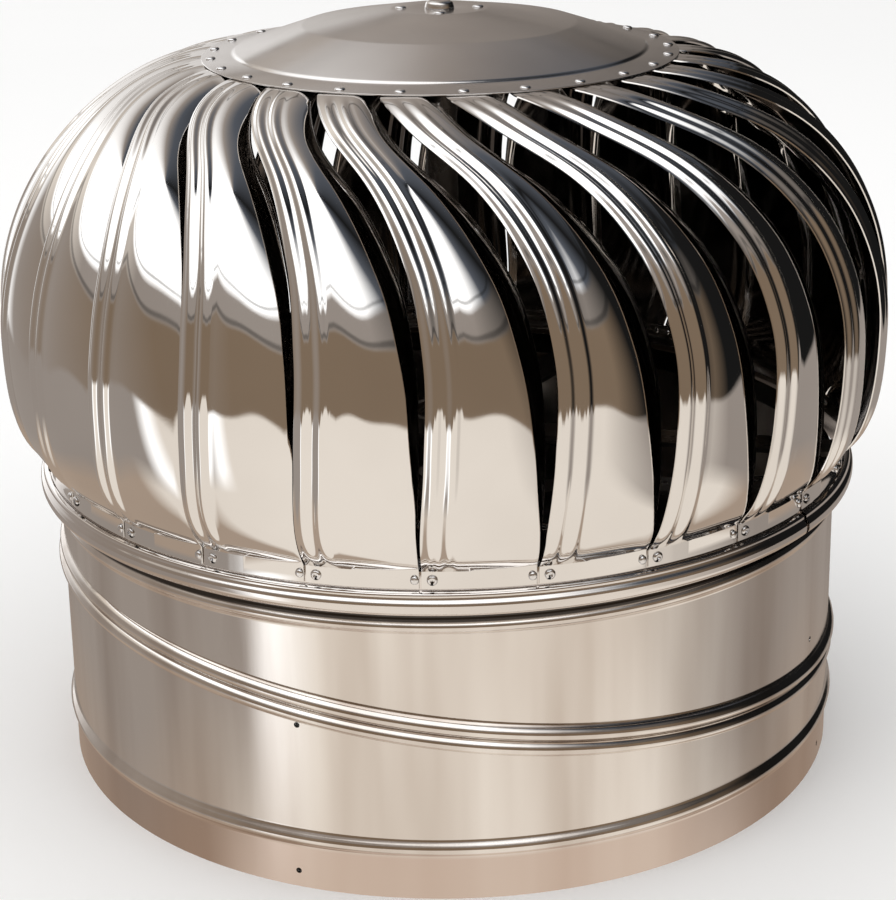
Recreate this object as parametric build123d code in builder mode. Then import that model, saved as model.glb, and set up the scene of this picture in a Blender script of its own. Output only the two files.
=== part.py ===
from build123d import *
import os
from math import cos, radians, sin, tan

# Roof turbine ventilator in stainless sheet, millimetres, +Z up.
#
# The origin is the centre of the neck's bottom edge. Angles are measured about +Z from the -Y
# direction, positive towards +X. The head turns on a fixed shaft; the neck is cut by an oblique
# swivel seam, so that turning the upper neck in the lower one sets the roof pitch.

os.makedirs("parts", exist_ok=True)

# ---------------------------------------------------------------- driving dimensions
sheet = 0.8                    # all sheet metal
running_gap = 0.3              # between sheet parts that turn past each other

neck_radius = 250.0            # outside of the neck wall
neck_top_height = 187.0        # hemmed top edge, inside the rotor's ring
foot_bead_height = 32.0        # stiffening bead near the bottom edge
foot_bead_width = 11.0
bead_proud = 3.0
top_bead_height = 169.5        # bead under the rotor's ring
top_bead_width = 10.0
fixing_hole_radius = 1.75
fixing_hole_height = 10.2
fixing_hole_angle = -20.9
fixing_hole_count = 4
lock_hole_angle = -20.4        # screw hole that locks the lower half of the swivel seam
lock_hole_drop = 12.5          # its distance below the seam plane
upper_lock_angle = 62.7        # screw hole in the upper half
upper_lock_rise = 21.6

seam_height = 104.0            # where the swivel seam crosses the axis
seam_tilt = 7.8                # degrees; the neck bends by up to twice this
seam_half_width = 9.0
seam_proud = 5.6               # bead crest beyond the wall
seam_lip = 1.7                 # folded lip under the spigot's curl
seam_cut_room = 0.2            # seam rings clear the wall's slanted cut by this much
seam_overlap = 1.0             # seam rings reach past the wall's cut edge
spigot_setback = 1.9           # spigot inside the seam ring's root
curl_setback = 0.1
curl_share = 0.6               # curl's end, as a share of the seam's half width

ring_radius = 255.5            # outside of the rotor ring's wall
ring_bottom = 179.5
ring_top = 204.5
ring_bead_top = 194.2
ring_bead_proud = 6.3
ring_shelf_proud = 4.1
ring_lead = 3.0                # height of the bead's slanted lower edge
ring_bead_face = 8.0           # top of the bead's upright face, from the ring's bottom
ring_shelf_low = 10.5          # bottom of the shelf, from the ring's bottom
ring_shelf_lead = 1.4          # height of the shelf's slanted upper edge
ring_joint_angle = 54.0        # where the ring's ends meet
ring_joint_gap = 1.5

vane_count = 25
tab_seat = 0.4                 # vane tab off the ring's wall
tab_bottom = 195.0
crease_height = 205.0          # where a vane leans out from its tab
belly_radius = 278.8
belly_height = 287.0
shoulder_radius = 150.0
shoulder_height = 443.6
shoulder_slope = 6.5           # degrees, of the top tabs and the plate's flange
crease_lean = 6.0              # how far out, and up, a vane leans as it leaves its tab
crease_rise = 8.0
belly_lower_pull = 66.0        # how far the upright stretch reaches below the belly
belly_upper_pull = 86.6        # and above it
shoulder_pull = 62.2           # how far out the shoulder's slope reaches
top_tab_radius = 137.0
band_width = 20.0              # pressed double bead along a vane's outer edge
ridge_rise = 2.2
flat_ridge = 0.05              # the beads die out into the flat tabs
tab_end_lead = 0.5             # degrees, the top tab's skew
hem_thickness = 2.6            # rolled inner edge of a vane
edge_drop = 0.3                # outer edge turned in, at the band's side
band_drop = 0.1                # band's inner side
bend_share = 0.55              # where a vane's panel bends in, between band and hem
bend_depth_share = 0.3         # how much of the depth it has there
vane_gap = 1.7                 # degrees between neighbouring vanes, where they are open
tab_gap = 0.3                  # degrees between neighbouring tabs
tab_rivet_height = 200.0
tab_rivet_angle = 12.4
edge_rivet_offset = 2.15       # degrees from a tab rivet back to the neighbour's edge rivet
top_rivet_radius = 141.8
top_rivet_angle = -9.2

plate_rim_radius = 147.5
plate_step_radius = 128.5
plate_step_rise = 1.6
plate_crease_radius = 85.0
plate_crease_height = 461.8
plate_flat_radius = 30.0
plate_flat_height = 470.6      # underside of the flat centre
plate_seat = 0.1               # flange off the vanes' top tabs

rivet_head_radius = 3.1
rivet_head_height = 1.3
rivet_shank_radius = 1.6
edge_rivet_head_radius = 2.5

shaft_radius = 10.0
shaft_foot_radius = 12.0       # shoulder under the lower bearing
shaft_top_radius = 6.0
foot_thread_radius = 8.0
foot_nut_radius = 13.8
foot_nut_height = 12.0
top_thread_radius = 4.0
top_nut_radius = 7.4
top_nut_height = 6.5
washer_thickness = 1.2
washer_overhang = 0.5          # washer beyond its nut's corners
thread_stand_out = 2.0         # foot thread beyond its nut
top_thread_stand_out = 0.8
shaft_foot_chamfer = 1.2
shaft_top_chamfer = 0.8
nut_relief = 0.5               # top thread starts below the bearing's face
spider_level = 152.0           # underside of the fixed arms
arm_width = 24.0
arm_thickness = 3.0
arm_count = 4
foot_height = 12.0
foot_thickness = 2.0
spider_plate_radius = 28.0
spider_hub_radius = 19.0
spider_hub_height = 12.0
rotor_arm_count = 5
rotor_arm_angle = 5.2          # midway between two tab rivets

bearing_low_level = 194.0      # underside of the lower bearing
low_bearing_radius = 21.0
low_bearing_width = 12.0
top_bearing_depth = 5.6        # top of the bearing below the plate's flat centre
top_bearing_radius = 16.0
top_bearing_width = 10.0
race_thickness = 3.5
seat_lip = 2.1                 # housing lip that holds a bearing's outer ring
low_seat_thickness = 2.0       # floor of the lower housing, under the bearing
rotor_arm_rise = 3.0           # rotor arms above the lower bearing's underside
cage_clearance = 0.25
cage_share = 0.6               # cage height, as a share of the bearing's width
low_housing_wall = 4.0
top_housing_wall = 2.5
housing_skirt = 4.0            # housing beyond the bearing, with the circlip's groove
housing_flange_thickness = 2.5
circlip_thickness = 1.2
circlip_depth = 0.8            # groove depth in the housing
fit = 0.02                     # running and seating fits, radial
hub_rivet_circle = 23.8
hub_rivet_count = 4
hub_rivet_head_radius = 3.4
hub_rivet_shank_radius = 2.0
access_hole_radius = 8.0       # in the top plate, over the shaft's nut
cap_radius = 9.2
cap_height = 4.6
cap_taper = 14                 # degrees
rivet_head_taper = 25          # degrees

# ---------------------------------------------------------------- derived values
neck_bore = neck_radius - sheet
pitch = 360 / vane_count
tab_radius = ring_radius + tab_seat + sheet
seam_plane = Plane(
    origin=(0, 0, seam_height),
    x_dir=(cos(radians(seam_tilt)), 0, -sin(radians(seam_tilt))),
    z_dir=(sin(radians(seam_tilt)), 0, cos(radians(seam_tilt))),
)
seam_section = Plane(origin=seam_plane.origin, x_dir=seam_plane.x_dir, z_dir=-seam_plane.y_dir)
seam_axis = Axis(seam_plane.origin, seam_plane.z_dir)
seam_wall = neck_radius / cos(radians(seam_tilt)) + seam_cut_room
seam_crest = neck_radius + seam_proud
spigot_radius = seam_wall - spigot_setback
curl_radius = seam_wall - curl_setback
curl_end = seam_half_width * curl_share
top_bearing_top = plate_flat_height - top_bearing_depth
shoulder_fall = tan(radians(shoulder_slope))
top_bearing_level = top_bearing_top - top_bearing_width
seam_reach = seam_half_width + seam_overlap
bead_cutter = bead_proud + sheet + 2.0    # half length of the tool for a fixing hole
parts_written = []


def spot(angle, radius, height):
    """A point at an angle from -Y, a radius and a height."""
    return Vector(radius * sin(radians(angle)), -radius * cos(radians(angle)), height)


def wall_plane(angle, radius, height):
    """A plane that lies on an upright wall, with its normal pointing out."""
    return Plane(
        origin=spot(angle, radius, height),
        x_dir=(cos(radians(angle)), sin(radians(angle)), 0),
        z_dir=(sin(radians(angle)), -cos(radians(angle)), 0),
    )


def seam_level(angle):
    """Height of the seam plane on the neck's wall at an angle."""
    return seam_height - neck_radius * sin(radians(angle)) * tan(radians(seam_tilt))


def hole_start(angle, height):
    """A plane just outside the neck, for drilling a hole inwards."""
    return wall_plane(angle, neck_radius + bead_cutter, height)


def keep(builder, name):
    """Label a finished piece and write its STEP file."""
    builder.part.label = name
    export_step(builder.part, f"parts/{name}.step")
    parts_written.append(name)


# ---------------------------------------------------------------- lower neck
with BuildPart() as lower_neck:
    with BuildSketch(Plane.XZ):
        with BuildLine():
            Polyline(
                (neck_bore, 0),
                (neck_radius, 0),
                (neck_radius, foot_bead_height - foot_bead_width / 2),
                (neck_radius + bead_proud, foot_bead_height - foot_bead_width / 4),
                (neck_radius + bead_proud, foot_bead_height + foot_bead_width / 4),
                (neck_radius, foot_bead_height + foot_bead_width / 2),
                (neck_radius, neck_top_height),
                (neck_bore, neck_top_height),
                (neck_bore, foot_bead_height + foot_bead_width / 2),
                (neck_bore + bead_proud, foot_bead_height + foot_bead_width / 4),
                (neck_bore + bead_proud, foot_bead_height - foot_bead_width / 4),
                (neck_bore, foot_bead_height - foot_bead_width / 2),
                close=True,
            )
        make_face()
    revolve(axis=Axis.Z)
    split(bisect_by=seam_plane.offset(-seam_half_width), keep=Keep.BOTTOM)
    with BuildSketch(seam_section):
        with BuildLine():
            Polyline(
                (neck_bore - running_gap, -seam_reach),
                (seam_wall, -seam_reach),
                (seam_crest, -seam_half_width / 2),
                (seam_wall, -running_gap / 2),
                (spigot_radius, -running_gap / 2),
                (spigot_radius, seam_lip + running_gap),
                (curl_radius, seam_lip + running_gap),
                (curl_radius, curl_end),
                (neck_bore - running_gap, curl_end),
                close=True,
            )
        make_face()
    revolve(axis=seam_axis)
    for hole in range(fixing_hole_count):
        turn = fixing_hole_angle + hole * 360 / fixing_hole_count
        with BuildSketch(hole_start(turn, fixing_hole_height)):
            Circle(fixing_hole_radius)
        extrude(amount=-2 * bead_cutter, mode=Mode.SUBTRACT)
    with BuildSketch(hole_start(lock_hole_angle, seam_level(lock_hole_angle) - lock_hole_drop)):
        Circle(fixing_hole_radius)
    extrude(amount=-2 * bead_cutter, mode=Mode.SUBTRACT)
keep(lower_neck, "lower_neck")

# ---------------------------------------------------------------- upper neck
with BuildPart() as upper_neck:
    with BuildSketch(Plane.XZ):
        with BuildLine():
            Polyline(
                (neck_bore, 0),
                (neck_radius, 0),
                (neck_radius, top_bead_height - top_bead_width / 2),
                (neck_radius + bead_proud, top_bead_height - top_bead_width / 4),
                (neck_radius + bead_proud, top_bead_height + top_bead_width / 4),
                (neck_radius, top_bead_height + top_bead_width / 2),
                (neck_radius, neck_top_height),
                (neck_bore, neck_top_height),
                close=True,
            )
        make_face()
    revolve(axis=Axis.Z)
    split(bisect_by=seam_plane.offset(seam_half_width), keep=Keep.TOP)
    with BuildSketch(seam_section):
        with BuildLine():
            Polyline(
                (spigot_radius + running_gap, running_gap / 2),
                (seam_wall, running_gap / 2),
                (seam_crest, seam_half_width / 2),
                (seam_wall, seam_reach),
                (neck_bore - running_gap, seam_reach),
                (neck_bore - running_gap, curl_end + running_gap),
                (curl_radius + running_gap, curl_end + running_gap),
                (curl_radius + running_gap, seam_lip),
                (spigot_radius + running_gap, seam_lip),
                close=True,
            )
        make_face()
    revolve(axis=seam_axis)
    with BuildSketch(hole_start(upper_lock_angle, seam_level(upper_lock_angle) + upper_lock_rise)):
        Circle(fixing_hole_radius)
    extrude(amount=-2 * bead_cutter, mode=Mode.SUBTRACT)
keep(upper_neck, "upper_neck")

# ---------------------------------------------------------------- fixed spider
with BuildPart() as spider:
    with BuildSketch(Plane.XY.offset(spider_level)):
        Circle(spider_plate_radius)
        for arm in range(arm_count):
            turn = arm * 360 / arm_count
            with Locations(Rot(0, 0, turn) * Location((neck_bore / 2, 0, 0))):
                Rectangle(neck_bore - 2 * running_gap, arm_width)
    extrude(amount=arm_thickness)
    for arm in range(arm_count):
        turn = 90 + arm * 360 / arm_count
        with BuildSketch(wall_plane(turn, neck_bore - 2 * running_gap, spider_level)):
            with Locations((0, foot_height / 2)):
                Rectangle(arm_width, foot_height)
        extrude(amount=-foot_thickness)
    with BuildSketch(Plane.XY.offset(spider_level + arm_thickness)):
        Circle(spider_hub_radius)
    extrude(amount=spider_hub_height)
    with BuildSketch(Plane.XY.offset(spider_level)):
        Circle(foot_thread_radius + fit)
    extrude(amount=arm_thickness + spider_hub_height, mode=Mode.SUBTRACT)
keep(spider, "spider")

# ---------------------------------------------------------------- shaft and its fasteners
spider_top = spider_level + arm_thickness + spider_hub_height
shaft_start = spider_level - washer_thickness - foot_nut_height - thread_stand_out
shaft_end = top_bearing_top + washer_thickness + top_nut_height + top_thread_stand_out

with BuildPart() as shaft:
    with BuildSketch(Plane.XZ):
        with BuildLine():
            Polyline(
                (0, shaft_start),
                (foot_thread_radius, shaft_start),
                (foot_thread_radius, spider_top),
                (shaft_foot_radius, spider_top),
                (shaft_foot_radius, bearing_low_level),
                (shaft_radius, bearing_low_level),
                (shaft_radius, top_bearing_level),
                (shaft_top_radius, top_bearing_level),
                (shaft_top_radius, top_bearing_top - nut_relief),
                (top_thread_radius, top_bearing_top - nut_relief),
                (top_thread_radius, shaft_end),
                (0, shaft_end),
                close=True,
            )
        make_face()
    revolve(axis=Axis.Z)
    chamfer(shaft.faces().sort_by(Axis.Z)[-1].edges(), shaft_top_chamfer)
    chamfer(shaft.faces().sort_by(Axis.Z)[0].edges(), shaft_foot_chamfer)
keep(shaft, "shaft")


def washer_and_nut(level, bore, radius, height, name):
    """A flat washer against a face at this level, and a hexagon nut beyond it.

    A negative height puts both below the face.
    """
    side = 1 if height > 0 else -1
    with BuildPart() as washer:
        with BuildSketch(Plane.XY.offset(level)):
            Circle(radius + washer_overhang)
            Circle(bore + 2 * fit, mode=Mode.SUBTRACT)
        extrude(amount=side * washer_thickness)
    keep(washer, f"{name}_washer")
    with BuildPart() as nut:
        with BuildSketch(Plane.XY.offset(level + side * washer_thickness)):
            RegularPolygon(radius, 6)
            Circle(bore + 2 * fit, mode=Mode.SUBTRACT)
        extrude(amount=height)
    keep(nut, f"{name}_nut")


washer_and_nut(spider_level, foot_thread_radius, foot_nut_radius, -foot_nut_height, "foot")
washer_and_nut(top_bearing_top, top_thread_radius, top_nut_radius, top_nut_height, "top")


# ---------------------------------------------------------------- bearings
def ring(inner, outer, low, high, name):
    """A plain turned ring."""
    with BuildPart() as turned:
        with BuildSketch(Plane.XY.offset(low)):
            Circle(outer)
            Circle(inner, mode=Mode.SUBTRACT)
        extrude(amount=high - low)
    keep(turned, name)


def bearing(bore, outer, low, width, name):
    """Inner ring, ball cage and outer ring of one sealed ball bearing."""
    inner_ring = bore + fit + race_thickness
    outer_ring = outer - race_thickness
    ring(bore + fit, inner_ring, low, low + width, f"{name}_inner")
    ring(
        inner_ring + cage_clearance,
        outer_ring - cage_clearance,
        low + width * (1 - cage_share) / 2,
        low + width * (1 + cage_share) / 2,
        f"{name}_cage",
    )
    ring(outer_ring, outer, low, low + width, f"{name}_outer")


bearing(shaft_radius, low_bearing_radius, bearing_low_level, low_bearing_width, "lower_bearing")
bearing(shaft_top_radius, top_bearing_radius, top_bearing_level, top_bearing_width, "top_bearing")

# ---------------------------------------------------------------- rotor ring
with BuildPart() as rotor_ring:
    with BuildSketch(Plane.XZ):
        with BuildLine():
            Polyline(
                (ring_radius - sheet, ring_bottom),
                (ring_radius + ring_bead_proud / 2, ring_bottom),
                (ring_radius + ring_bead_proud, ring_bottom + ring_lead),
                (ring_radius + ring_bead_proud, ring_bottom + ring_bead_face),
                (ring_radius + ring_shelf_proud, ring_bottom + ring_shelf_low),
                (ring_radius + ring_shelf_proud, ring_bead_top - ring_shelf_lead),
                (ring_radius, ring_bead_top),
                (ring_radius, ring_top),
                (ring_radius - sheet, ring_top),
                close=True,
            )
        make_face()
    revolve(axis=Axis.Z)
    with BuildSketch(wall_plane(ring_joint_angle, ring_radius, ring_bottom - 1)):
        with Locations((0, (ring_bead_top - ring_bottom) / 2 + 1)):
            Rectangle(ring_joint_gap, ring_bead_top - ring_bottom + 2)
    extrude(amount=ring_bead_proud + 1, mode=Mode.SUBTRACT)
keep(rotor_ring, "rotor_ring")

# ---------------------------------------------------------------- rotor spider
low_bearing_top = bearing_low_level + low_bearing_width
rotor_arm_level = bearing_low_level + rotor_arm_rise
ring_bore = ring_radius - sheet

with BuildPart() as rotor_spider:
    with BuildSketch(Plane.XY.offset(rotor_arm_level)):
        for arm in range(rotor_arm_count):
            turn = rotor_arm_angle - 90 + arm * 360 / rotor_arm_count
            with Locations(Rot(0, 0, turn) * Location((ring_bore / 2, 0, 0))):
                Rectangle(ring_bore - 2 * running_gap, arm_width)
    extrude(amount=arm_thickness)
    for arm in range(rotor_arm_count):
        turn = rotor_arm_angle + arm * 360 / rotor_arm_count
        with BuildSketch(wall_plane(turn, ring_bore - running_gap, rotor_arm_level)):
            with Locations((0, (ring_top - rotor_arm_level) / 2)):
                Rectangle(arm_width, ring_top - rotor_arm_level)
        extrude(amount=-foot_thickness)
    with BuildSketch(Plane.XY.offset(bearing_low_level - low_seat_thickness)):
        Circle(low_bearing_radius + low_housing_wall)
    extrude(amount=low_seat_thickness + low_bearing_width + housing_skirt)
    with BuildSketch(Plane.XY.offset(bearing_low_level - low_seat_thickness)):
        Circle(low_bearing_radius - seat_lip)
    extrude(amount=low_seat_thickness, mode=Mode.SUBTRACT)
    with BuildSketch(Plane.XY.offset(bearing_low_level)):
        Circle(low_bearing_radius + fit)
    extrude(amount=low_bearing_width + housing_skirt, mode=Mode.SUBTRACT)
    with BuildSketch(Plane.XY.offset(low_bearing_top)):
        Circle(low_bearing_radius + circlip_depth)
    extrude(amount=circlip_thickness + 2 * fit, mode=Mode.SUBTRACT)
keep(rotor_spider, "rotor_spider")

# ---------------------------------------------------------------- top housing and circlips
flange_underside = plate_flat_height - housing_flange_thickness

with BuildPart() as top_housing:
    with BuildSketch(Plane.XY.offset(flange_underside)):
        Circle(plate_flat_radius)
    extrude(amount=housing_flange_thickness)
    with BuildSketch(Plane.XY.offset(top_bearing_level - housing_skirt)):
        Circle(top_bearing_radius + top_housing_wall)
    extrude(amount=flange_underside - top_bearing_level + housing_skirt)
    with BuildSketch(Plane.XY.offset(top_bearing_level - housing_skirt)):
        Circle(top_bearing_radius + fit)
    extrude(amount=top_bearing_width + housing_skirt, mode=Mode.SUBTRACT)
    with BuildSketch(Plane.XY.offset(top_bearing_top)):
        Circle(top_bearing_radius - seat_lip)
    extrude(amount=plate_flat_height - top_bearing_top, mode=Mode.SUBTRACT)
    with BuildSketch(Plane.XY.offset(top_bearing_level)):
        Circle(top_bearing_radius + circlip_depth)
    extrude(amount=-circlip_thickness - 2 * fit, mode=Mode.SUBTRACT)
keep(top_housing, "top_housing")


def circlip(radius, level, name):
    """An open retaining ring in a housing's groove."""
    with BuildPart() as clip:
        with BuildSketch(Plane.XY.offset(level + fit)):
            Circle(radius + circlip_depth - 2 * fit)
            Circle(radius - seat_lip, mode=Mode.SUBTRACT)
            with Locations((radius, 0)):
                Rectangle(seat_lip * 3, seat_lip * 2, mode=Mode.SUBTRACT)
        extrude(amount=circlip_thickness)
    keep(clip, name)


circlip(low_bearing_radius, low_bearing_top, "lower_circlip")
circlip(top_bearing_radius, top_bearing_level - circlip_thickness - 2 * fit, "top_circlip")

# ---------------------------------------------------------------- vanes
with BuildLine(Plane.XZ) as meridian:
    Bezier(
        (tab_radius, crease_height),
        (tab_radius + crease_lean, crease_height + crease_rise),
        (belly_radius, belly_height - belly_lower_pull),
        (belly_radius, belly_height),
    )
    Bezier(
        (belly_radius, belly_height),
        (belly_radius, belly_height + belly_upper_pull),
        (shoulder_radius + shoulder_pull, shoulder_height - shoulder_pull * shoulder_fall),
        (shoulder_radius, shoulder_height),
    )
meridian_wire = meridian.wire()

# Stations up the meridian: how far along it, the angle of the vane's outer edge, how deep its
# inner edge lies under the neighbour, and how high the pressed beads stand.
vane_stations = [
    (0.00, 11.1, 0.1, flat_ridge),
    (0.08, 11.2, 7.0, 2.0),
    (0.24, 11.9, 14.6, ridge_rise),
    (0.42, 12.0, 17.0, ridge_rise),
    (0.59, 9.7, 17.0, ridge_rise),
    (0.74, 4.1, 16.2, ridge_rise),
    (0.88, -5.6, 12.0, 2.0),
    (1.00, -13.0, 4.0, flat_ridge),
]


def vane_section(point, direction, edge_angle, depth, ridge, gap, hem):
    """One cross-section of a vane, square to the meridian at this point."""
    span = pitch - gap
    middle = radians(edge_angle + span / 2)
    outward = Vector(sin(middle), -cos(middle), 0)
    across = Vector(cos(middle), sin(middle), 0)
    normal = outward * direction.Z - Vector(0, 0, direction.X)
    origin = outward * point.X + Vector(0, 0, point.Z)
    left = -point.X * sin(radians(span / 2))
    curvature = max(direction.Z, 0) / point.X

    def skin(x, below=0.0):
        return (x, -curvature * x * x / 2 - below)

    band = left + band_width
    middle_x = band + (-left - band) * bend_share
    top = [
        skin(left, edge_drop),
        skin(left + band_width * 0.25, -ridge),
        skin(left + band_width * 0.5, 0),
        skin(left + band_width * 0.75, -ridge),
        skin(band, band_drop),
        skin(middle_x, band_drop + depth * bend_depth_share),
        skin(-left, depth),
    ]
    bottom = [
        skin(-left, depth + hem),
        skin(middle_x, band_drop + depth * bend_depth_share + sheet),
        skin(band, band_drop + sheet),
        skin(left, edge_drop + sheet),
    ]
    with BuildSketch(Plane(origin=origin, x_dir=across, z_dir=across.cross(normal))) as section:
        with BuildLine():
            Polyline(*top, *bottom, close=True)
        make_face()
    return section.sketch.faces()[0]


def vane_sections():
    """The vane's cross-sections from its bottom tab to its top tab."""
    start, *_, end = vane_stations
    tab_foot = Vector(tab_radius, 0, tab_bottom)
    yield vane_section(tab_foot, Vector(0, 0, 1), *start[1:], tab_gap, sheet)
    for fraction, *shape in vane_stations:
        at_tab = fraction == 0
        yield vane_section(
            meridian_wire @ fraction,
            Vector(0, 0, 1) if at_tab else meridian_wire % fraction,
            *shape,
            tab_gap if at_tab else vane_gap,
            sheet if fraction in (0, 1) else hem_thickness,
        )
    tab_rise = (shoulder_radius - top_tab_radius) * shoulder_fall
    tab_end = Vector(top_tab_radius, 0, shoulder_height + tab_rise)
    tab_run = Vector(-cos(radians(shoulder_slope)), 0, sin(radians(shoulder_slope)))
    yield vane_section(tab_end, tab_run, end[1] - tab_end_lead, 1.0, flat_ridge, tab_gap, sheet)


with BuildPart() as first_vane:
    loft(sections=list(vane_sections()), ruled=True)

for number in range(vane_count):
    with BuildPart() as vane:
        add(first_vane.part, rotation=(0, 0, number * pitch))
    keep(vane, f"vane_{number + 1:02d}")

# ---------------------------------------------------------------- top plate
flange_level = shoulder_height + plate_seat


def flange_height(radius):
    """Underside of the plate's flange at a radius."""
    return flange_level + (shoulder_radius - radius) * shoulder_fall


step_height = flange_height(plate_step_radius) + plate_step_rise

with BuildPart() as top_plate:
    with BuildSketch(Plane.XZ):
        with BuildLine():
            Polyline(
                (plate_rim_radius, flange_height(plate_rim_radius)),
                (plate_step_radius, flange_height(plate_step_radius)),
                (plate_step_radius - 1.5, step_height),
                (plate_crease_radius, plate_crease_height),
                (plate_flat_radius, plate_flat_height),
                (access_hole_radius, plate_flat_height),
                (access_hole_radius, plate_flat_height + sheet),
                (plate_flat_radius, plate_flat_height + sheet),
                (plate_crease_radius, plate_crease_height + sheet),
                (plate_step_radius - 1, step_height + sheet),
                (plate_step_radius + 0.5, flange_height(plate_step_radius) + sheet),
                (plate_rim_radius, flange_height(plate_rim_radius) + sheet),
                close=True,
            )
        make_face()
    revolve(axis=Axis.Z)
keep(top_plate, "top_plate")

with BuildPart() as hub_cap:
    with BuildSketch(Plane.XY.offset(plate_flat_height + sheet)):
        Circle(cap_radius)
    extrude(amount=cap_height, taper=cap_taper)
    with BuildSketch(Plane.XY.offset(plate_flat_height + sheet)):
        Circle(cap_radius - sheet)
    extrude(amount=cap_height - sheet, taper=cap_taper, mode=Mode.SUBTRACT)
keep(hub_cap, "hub_cap")


# ---------------------------------------------------------------- rivets
def rivet_row(faces, head_radius, shank_radius, grip, name):
    """Set rivets on these planes: a domed head, a shank through the grip and a swaged tail."""
    with BuildPart() as row:
        with BuildSketch(*faces):
            RegularPolygon(head_radius, 6)
        extrude(amount=rivet_head_height, taper=rivet_head_taper)
        with BuildSketch(*faces):
            RegularPolygon(shank_radius, 6)
        extrude(amount=-grip - rivet_head_height)
    keep(row, name)


def flange_face(angle):
    """A plane on the plate's sloping flange at a top rivet."""
    slope = radians(shoulder_slope)
    return Plane(
        origin=spot(angle, top_rivet_radius, flange_height(top_rivet_radius) + sheet / cos(slope)),
        z_dir=spot(angle, sin(slope), cos(slope)),
    )


def tab_face(angle):
    """A plane on the vanes' bottom tabs."""
    return wall_plane(angle, tab_radius, tab_rivet_height)


vane_turns = [number * pitch for number in range(vane_count)]
edge_rivet_angle = tab_rivet_angle - edge_rivet_offset
hub_faces = [
    Plane(origin=spot(spoke * 360 / hub_rivet_count, hub_rivet_circle, plate_flat_height + sheet))
    for spoke in range(hub_rivet_count)
]
hub_grip = sheet + housing_flange_thickness
top_faces = [flange_face(top_rivet_angle + turn) for turn in vane_turns]
tab_faces = [tab_face(tab_rivet_angle + turn) for turn in vane_turns]
edge_faces = [tab_face(edge_rivet_angle + turn) for turn in vane_turns]

rivet_row(hub_faces, hub_rivet_head_radius, hub_rivet_shank_radius, hub_grip, "hub_rivets")
rivet_row(top_faces, rivet_head_radius, rivet_shank_radius, 2 * sheet, "top_rivets")
rivet_row(tab_faces, rivet_head_radius, rivet_shank_radius, 2 * sheet, "tab_rivets")
rivet_row(edge_faces, edge_rivet_head_radius, rivet_shank_radius, 2 * sheet, "edge_rivets")

print(len(parts_written), "pieces written")
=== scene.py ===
# %% [markdown]
# # A roof turbine ventilator in polished sheet steel
#
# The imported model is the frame: it holds every piece at its real size and place. This lesson dresses it.
# A mirror-bright sheet shows its shape only through what it reflects, so three things matter here: smooth
# meshes, a finish with small faults in it, and a studio worth reflecting.

# %% Load the frame
from math import cos, pi, radians, sin, tan

import bmesh
import bpy
import numpy as np
from mathutils import Matrix, Vector


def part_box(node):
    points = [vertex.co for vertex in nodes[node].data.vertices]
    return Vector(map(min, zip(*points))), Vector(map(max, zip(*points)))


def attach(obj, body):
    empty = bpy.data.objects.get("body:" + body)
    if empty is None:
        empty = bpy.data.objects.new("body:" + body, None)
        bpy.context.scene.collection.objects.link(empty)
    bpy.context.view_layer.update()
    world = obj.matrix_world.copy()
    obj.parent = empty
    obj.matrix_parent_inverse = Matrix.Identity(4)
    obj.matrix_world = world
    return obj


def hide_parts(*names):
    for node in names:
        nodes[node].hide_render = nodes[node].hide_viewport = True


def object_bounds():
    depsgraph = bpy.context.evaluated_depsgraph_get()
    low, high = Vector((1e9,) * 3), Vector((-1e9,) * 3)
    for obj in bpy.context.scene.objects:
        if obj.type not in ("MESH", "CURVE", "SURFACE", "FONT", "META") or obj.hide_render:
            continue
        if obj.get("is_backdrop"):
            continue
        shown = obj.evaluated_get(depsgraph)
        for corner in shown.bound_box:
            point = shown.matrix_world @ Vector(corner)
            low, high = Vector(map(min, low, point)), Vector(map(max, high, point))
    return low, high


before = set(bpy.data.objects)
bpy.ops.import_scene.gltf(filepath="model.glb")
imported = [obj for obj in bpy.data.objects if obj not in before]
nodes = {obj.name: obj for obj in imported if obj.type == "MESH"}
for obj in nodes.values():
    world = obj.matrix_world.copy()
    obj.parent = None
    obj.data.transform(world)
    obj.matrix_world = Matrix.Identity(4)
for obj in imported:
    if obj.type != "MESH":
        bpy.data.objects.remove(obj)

cad_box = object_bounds()

# %% [markdown]
# ## Sizes
#
# All sizes are in metres, the same as in the frame. Angles are measured about the upright axis from the
# front, and are positive towards the right. A few sizes are read from the frame's own boxes, so the dressed
# pieces follow it.

# %% Sizes that several pieces share
mm = 0.001
sheet = 0.8 * mm
neck_radius = 250 * mm
neck_bore = neck_radius - sheet
ring_radius = 255.5 * mm
tab_radius = ring_radius + 0.4 * mm + sheet
vane_count = 25
pitch = 360 / vane_count

hair = 0.02 * mm
axis_radius = 0.5 * mm

neck_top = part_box("upper_neck")[1].z
ring_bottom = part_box("rotor_ring")[0].z
ring_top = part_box("rotor_ring")[1].z
plate_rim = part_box("top_plate")[1].x
print("neck top", neck_top, "ring", ring_bottom, ring_top, "plate rim", plate_rim)


def spot(angle, radius, height):
    """A point at an angle from the front, a radius and a height."""
    return Vector((radius * sin(radians(angle)), -radius * cos(radians(angle)), height))


# %% [markdown]
# ## From rings of points to a surface
#
# Almost every piece here is a skin through a row of closed rings: a turned ring, a neck, a vane. They could
# be made with a Screw or a Skin modifier, but a small function that joins ring to ring gives full control of
# the number of points, and one function serves them all.

# %% Join rings of points into a closed skin
def ring_faces(rows, around, wrap, first=0):
    """The four-sided faces between neighbouring rings, whose points are numbered from first."""
    faces = []
    for row in range(rows if wrap else rows - 1):
        lower = first + row * around
        upper = first + (row + 1) % rows * around
        for step in range(around):
            side = (step + 1) % around
            faces.append((lower + step, lower + side, upper + side, upper + step))
    return faces


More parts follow.
